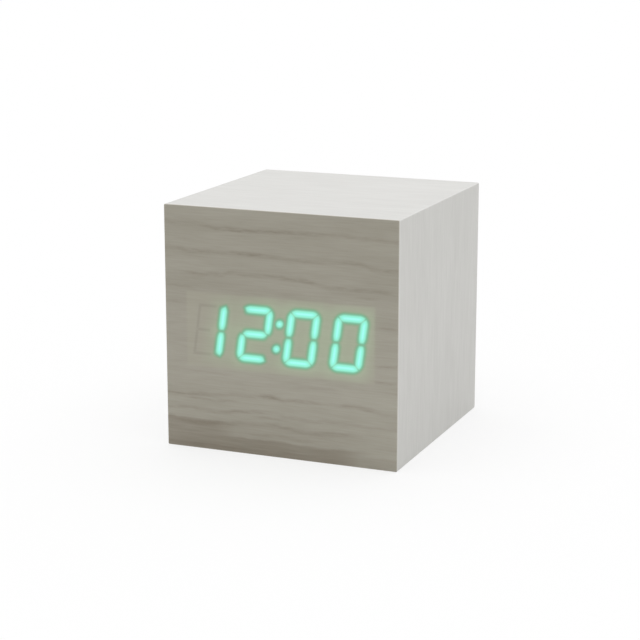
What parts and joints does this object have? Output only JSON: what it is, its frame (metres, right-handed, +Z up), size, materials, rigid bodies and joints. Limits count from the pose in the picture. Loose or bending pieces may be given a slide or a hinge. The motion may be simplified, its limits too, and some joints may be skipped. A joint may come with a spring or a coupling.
{
  "type": "cube alarm clock",
  "caption": "Plain wooden cube alarm clock whose lit green digits shine through its front veneer, with keys and power inlet at the rear and a battery door under the base.",
  "frame": {"origin": "middle of the base face", "axes": "+Z up, the display faces -Y, the keys face +Y"},
  "size_m": [0.0636, 0.0636, 0.0635],
  "materials": {
    "front_wood": "satin open grain",
    "pale_wood": "satin whitewashed",
    "fibreboard": "raw fibreboard",
    "screw_steel": "zinc plated",
    "reflector_plastic": "matte moulded",
    "lit_segment": "cast and lit",
    "light_chip": "bare chip",
    "circuit_board": "solder mask",
    "nylon": "natural nylon",
    "ribbon_jacket": "flat cable",
    "chip_resin": "moulded resin",
    "can_metal": "drawn can",
    "capacitor_sleeve": "shrink sleeve",
    "black_plastic": "fine textured",
    "key_plastic": "satin moulded",
    "coin_steel": "stainless",
    "contact_metal": "nickel plated",
    "pin_brass": "bright",
    "cell_jacket": "printed film sleeve",
    "red_wire": "insulated",
    "black_wire": "insulated"
  },
  "bodies": {
    "case": {"front_veneer": "front_wood", "top_veneer": "pale_wood", "left_veneer": "pale_wood", "right_veneer": "pale_wood", "base_veneer": "pale_wood", "rear_edge_veneer": "pale_wood", "rear_veneer": "pale_wood", "front_board": "fibreboard", "top_board": "fibreboard", "left_board": "fibreboard", "right_board": "fibreboard", "base_board": "fibreboard", "rear_board": "fibreboard", "corner_blocks": "fibreboard", "rear_screws": "screw_steel", "display_screws": "screw_steel", "main_board_screws": "screw_steel", "tray_screws": "screw_steel", "display_reflector": "reflector_plastic", "hour_tens_segments": "lit_segment", "hour_units_segments": "lit_segment", "minute_tens_segments": "lit_segment", "minute_units_segments": "lit_segment", "colon_dots": "lit_segment", "display_led_chips": "light_chip", "display_board": "circuit_board", "main_board": "circuit_board", "display_standoffs": "nylon", "display_socket": "nylon", "ribbon_socket": "nylon", "battery_socket": "nylon", "ribbon_cable": "ribbon_jacket", "controller_chip": "chip_resin", "clock_crystal": "can_metal", "microphone": "can_metal", "electrolytic_capacitor": "capacitor_sleeve", "buzzer": "black_plastic", "coin_cell_holder": "black_plastic", "power_jack": "black_plastic", "tact_switches": "black_plastic", "control_plate": "black_plastic", "battery_tray": "black_plastic", "coin_cell": "coin_steel", "battery_springs": "contact_metal", "battery_plates": "contact_metal", "power_jack_pin": "pin_brass", "battery_cell_1": "cell_jacket", "battery_cell_2": "cell_jacket", "battery_cell_3": "cell_jacket", "battery_wire_red": "red_wire", "battery_wire_black": "black_wire"},
    "set_key": {"set_button": "key_plastic", "set_plunger": "key_plastic"},
    "down_key": {"down_button": "key_plastic", "down_plunger": "key_plastic"},
    "up_key": {"up_button": "key_plastic", "up_plunger": "key_plastic"},
    "door": {"battery_door": "black_plastic"}
  },
  "joints": [
    {"name": "set_press", "type": "slide", "parent": "case", "child": "set_key", "axis": [0, -1, 0], "range_m": [0, 0.0004], "stiffness_N_per_m": 2500, "springref_m": -0.0002},
    {"name": "down_press", "type": "slide", "parent": "case", "child": "down_key", "axis": [0, -1, 0], "range_m": [0, 0.0004], "stiffness_N_per_m": 2500, "springref_m": -0.0002},
    {"name": "up_press", "type": "slide", "parent": "case", "child": "up_key", "axis": [0, -1, 0], "range_m": [0, 0.0004], "stiffness_N_per_m": 2500, "springref_m": -0.0002},
    {"name": "door_hinge", "type": "hinge", "parent": "case", "child": "door", "pos_m": [0, -0.01985, 0.0015], "axis": [-1, 0, 0], "range_deg": [0, 90]}
  ]
}
